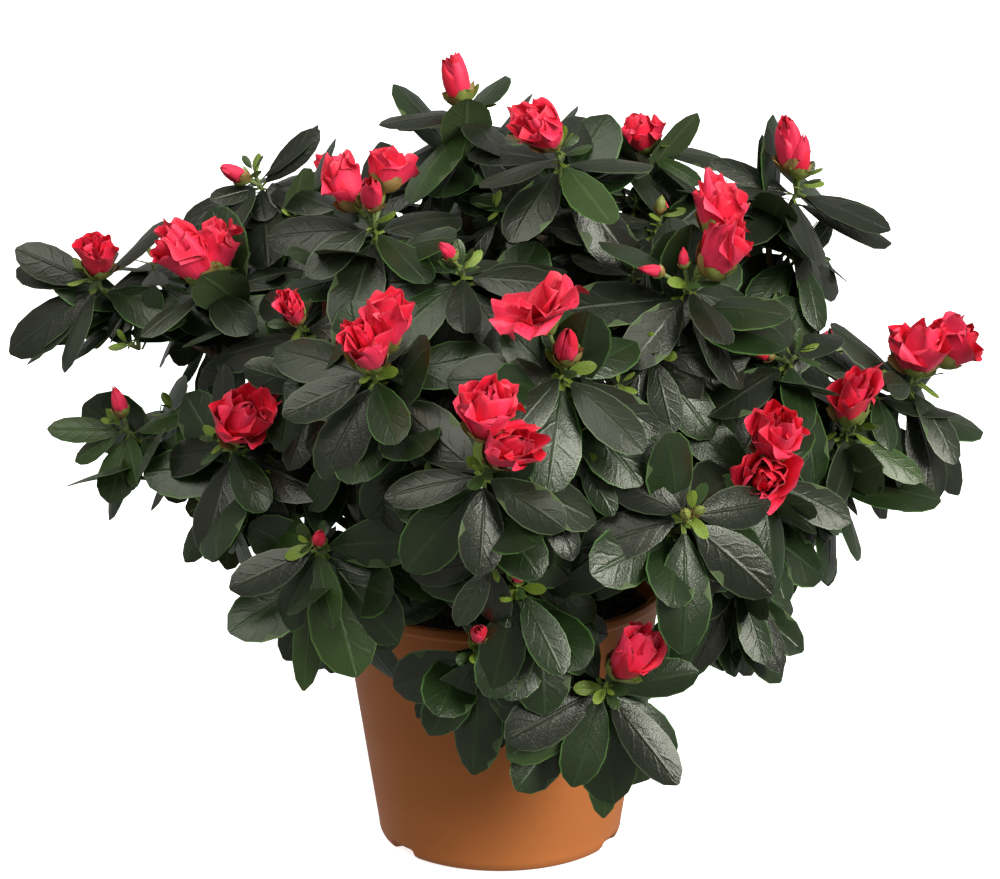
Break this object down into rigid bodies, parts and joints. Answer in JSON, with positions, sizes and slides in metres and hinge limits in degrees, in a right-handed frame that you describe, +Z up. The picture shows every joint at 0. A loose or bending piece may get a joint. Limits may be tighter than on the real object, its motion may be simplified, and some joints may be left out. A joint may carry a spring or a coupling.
{
  "type": "potted azalea shrub",
  "caption": "Dome-shaped evergreen azalea with dark oval leaves in whorls and ruffled red flowers and buds, in a tapered plastic grow pot.",
  "frame": {"origin": "centre of the pot's flat underside", "axes": "+Z up, +X to the plant's right as it is seen from its fuller side, which faces -Y"},
  "size_m": [0.3842, 0.3566, 0.3209],
  "materials": {
    "foliage": "satin",
    "petals": "satin",
    "bark": "matte",
    "pot": "satin",
    "soil": "matte"
  },
  "bodies": {
    "root": {"bough_back_left_middle": "bark", "bough_back_left_skirt": "bark", "bough_back_right_low": "bark", "bough_back_right_middle": "bark", "bough_front_left_low": "bark", "bough_front_low_right": "bark", "bough_front_right": "bark", "bough_left_low_tip": "bark", "bough_left_tip": "bark", "bough_middle_left": "bark", "bough_right_middle": "bark", "bough_right_tip": "bark", "bough_top_left": "bark", "mass_back_left_low": "foliage", "mass_back_left_middle": "foliage", "mass_back_left_skirt": "foliage", "mass_back_left_tip": "foliage", "mass_back_left_top": "foliage", "mass_back_middle": "foliage", "mass_back_right_low": "foliage", "mass_back_right_middle": "foliage", "mass_back_right_skirt": "foliage", "mass_back_right_tip": "foliage", "mass_back_right_top": "foliage", "mass_back_skirt": "foliage", "mass_back_top": "foliage", "mass_front_centre": "foliage", "mass_front_left_low": "foliage", "mass_front_low": "foliage", "mass_front_low_right": "foliage", "mass_front_middle_low": "foliage", "mass_front_right": "foliage", "mass_left_inner": "foliage", "mass_left_low": "foliage", "mass_left_low_tip": "foliage", "mass_left_shoulder": "foliage", "mass_left_tip": "foliage", "mass_left_top": "foliage", "mass_middle_left": "foliage", "mass_middle_right": "foliage", "mass_middle_upper": "foliage", "mass_right_inner": "foliage", "mass_right_low": "foliage", "mass_right_middle": "foliage", "mass_right_skirt": "foliage", "mass_right_tip": "foliage", "mass_right_top": "foliage", "mass_top": "foliage", "mass_top_back": "foliage", "mass_top_left": "foliage", "mass_top_right": "foliage", "mass_upper_left": "foliage", "mass_upper_right": "foliage", "pot": "pot", "soil": "soil", "trunk": "bark"}
  },
  "joints": []
}
